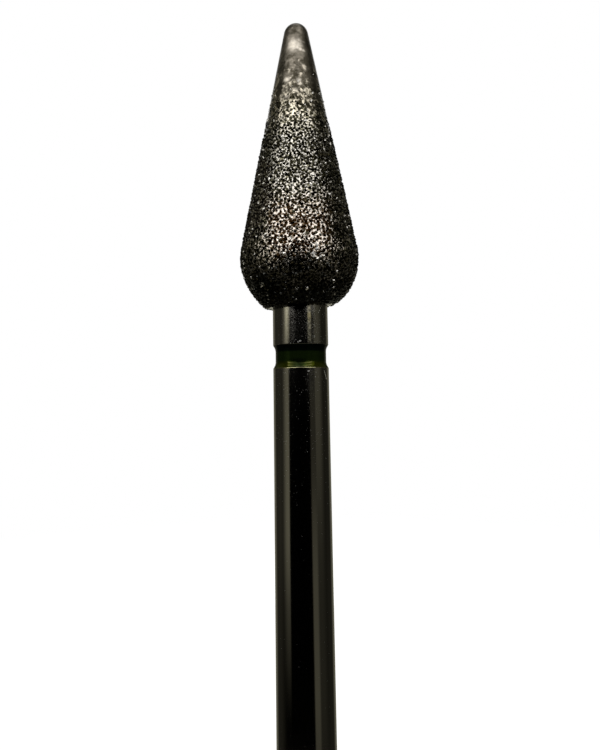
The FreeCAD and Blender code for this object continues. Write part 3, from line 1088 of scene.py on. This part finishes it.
def tent_paper():
    """The tent glows on both sides of the bur and in a strip behind it, and is black in front of it."""
    finish = Finish("tent_paper")
    _, (x, y, z) = finish.position()
    right_side = bearing_of(x, y)
    left_side = 0 - right_side
    distance = (x * x + y * y) ** 0.5
    on_wall = z.step(-8.0, 11.0) * distance.step(30.0, 62.0)
    leaning = left_side + z.step(4.0, 30.0) * 3.0
    left = leaning.between(52.5, 57.5, 64.0, 90.0) * 0.16 + leaning.between(52.5, 57.5, 80.0, 160.0) * 0.02
    beside_neck = z.between(33.0, 40.0, 42.0, 52.0)
    left = left * on_wall + left_side.between(42.5, 53.5, 59.0, 73.0) * beside_neck * 0.68
    right = right_side.between(53.5, 58.5, 71.0, 101.0) * (0.03 + z.step(0.0, 30.0) * 0.055)
    low_right = right_side.between(31.5, 36.5, 52.0, 60.0) * (0.035 + z.step(2.0, 22.0, rises=False) * 0.065)
    right = (right + low_right) * distance.step(5.0, 40.0)
    high_right = right_side.between(27.0, 33.0, 40.0, 46.0) * beside_neck * 0.52
    either_side = right_side.larger(left_side)
    behind = either_side.between(70.0, 110.0, 130.0, 170.0) * 0.02
    behind = behind + either_side.step(126.0, 146.0) * z.step(40.0, 46.0, rises=False) * 0.17
    behind = behind + either_side.step(165.0, 174.0) * z.between(1.0, 6.0, 24.0, 32.0) * 0.85
    past_the_sides = either_side.step(60.0, 100.0) * 0.08 + left_side.step(60.0, 100.0) * 0.05
    behind = behind + past_the_sides * z.step(45.0, 60.0)
    under = distance.step(18.0, 27.0, rises=False) * z.step(0.2, 1.0, rises=False) * 0.20
    strength = left + right + high_right + behind + under
    finish.node("ShaderNodeOutputMaterial", inputs={"Surface": emission(finish, TENT_TINT, strength)})
    return finish.material


tent = turn("tent", [(radius * MM, height * MM) for radius, height in TENT_OUTLINE], TENT_SEGMENTS)
tent.data.materials.append(tent_paper())
tent.visible_camera = False
tent.visible_shadow = False

# %% [markdown]
# ## The lamps
#
# Large lamps close to the head give broad soft glints on round metal, and small far ones give hard sparks.
# The photograph's nickel shines in broad patches, so all five lamps are large. They face the middle of the
# head's ball. A lamp's power is worked out from the brightness of its surface, so that it looks as bright
# in the nickel whatever its size. The values are azimuth, elevation, width, height and brightness.

# %% Lamps
LAMP_DISTANCE = 50 * MM


def soft_lamp(name, azimuth, elevation, width, height, brightness):
    """A flat soft lamp that faces the head. brightness is that of its surface, where 1 is white."""
    a, e = math.radians(azimuth), math.radians(elevation)
    out = Vector((math.sin(a) * math.cos(e), -math.cos(a) * math.cos(e), math.sin(e)))
    lamp = bpy.data.lights.new(name, "AREA")
    lamp.shape = "RECTANGLE"
    lamp.size = width
    lamp.size_y = height
    lamp.energy = brightness * math.pi * width * height
    made = bpy.data.objects.new(name, lamp)
    bpy.context.collection.objects.link(made)
    target = Vector((0, 0, BALL_HEIGHT))
    made.location = target + out * LAMP_DISTANCE
    made.rotation_euler = out.to_track_quat("Z", "Y").to_euler()
    made.visible_camera = False
    print(f"{name}: {lamp.energy:.6f} W")


LAMPS = (
    ("middle_lamp", 0, 43, 38 * MM, 37 * MM, 1.3),
    ("left_lamp", -43, 36, 38 * MM, 53 * MM, 1.6),
    ("right_lamp", 43, 36, 38 * MM, 53 * MM, 1.4),
    ("top_lamp", 0, 90, 36 * MM, 36 * MM, 0.7),
    ("back_lamp", 180, 48, 37 * MM, 30 * MM, 1.2),
)
for lamp_values in LAMPS:
    soft_lamp(*lamp_values)

# %% [markdown]
# ## The world
#
# The background is white, as in the photograph. A white room would also light the bur from everywhere and
# take the black out of it, so the world is white only for what the eye sees, straight or in a mirror, and
# a quarter as bright for the light that it casts. The Standard view transform keeps white paper white.

# %% World
WORLD_LIGHT = 0.25

world = Finish("studio", kept_in="worlds")
sky_strength = seen_rays(world) * (1 - WORLD_LIGHT) + WORLD_LIGHT
sky = world.node("ShaderNodeBackground", inputs={"Color": WHITE, "Strength": sky_strength})
world.node("ShaderNodeOutputWorld", inputs={"Surface": sky})
bpy.context.scene.world = world.material
bpy.context.scene.view_settings.view_transform = "Standard"
print("studio:", len(world.tree.nodes), "nodes in the world,", len(bpy.data.lights), "lamps")
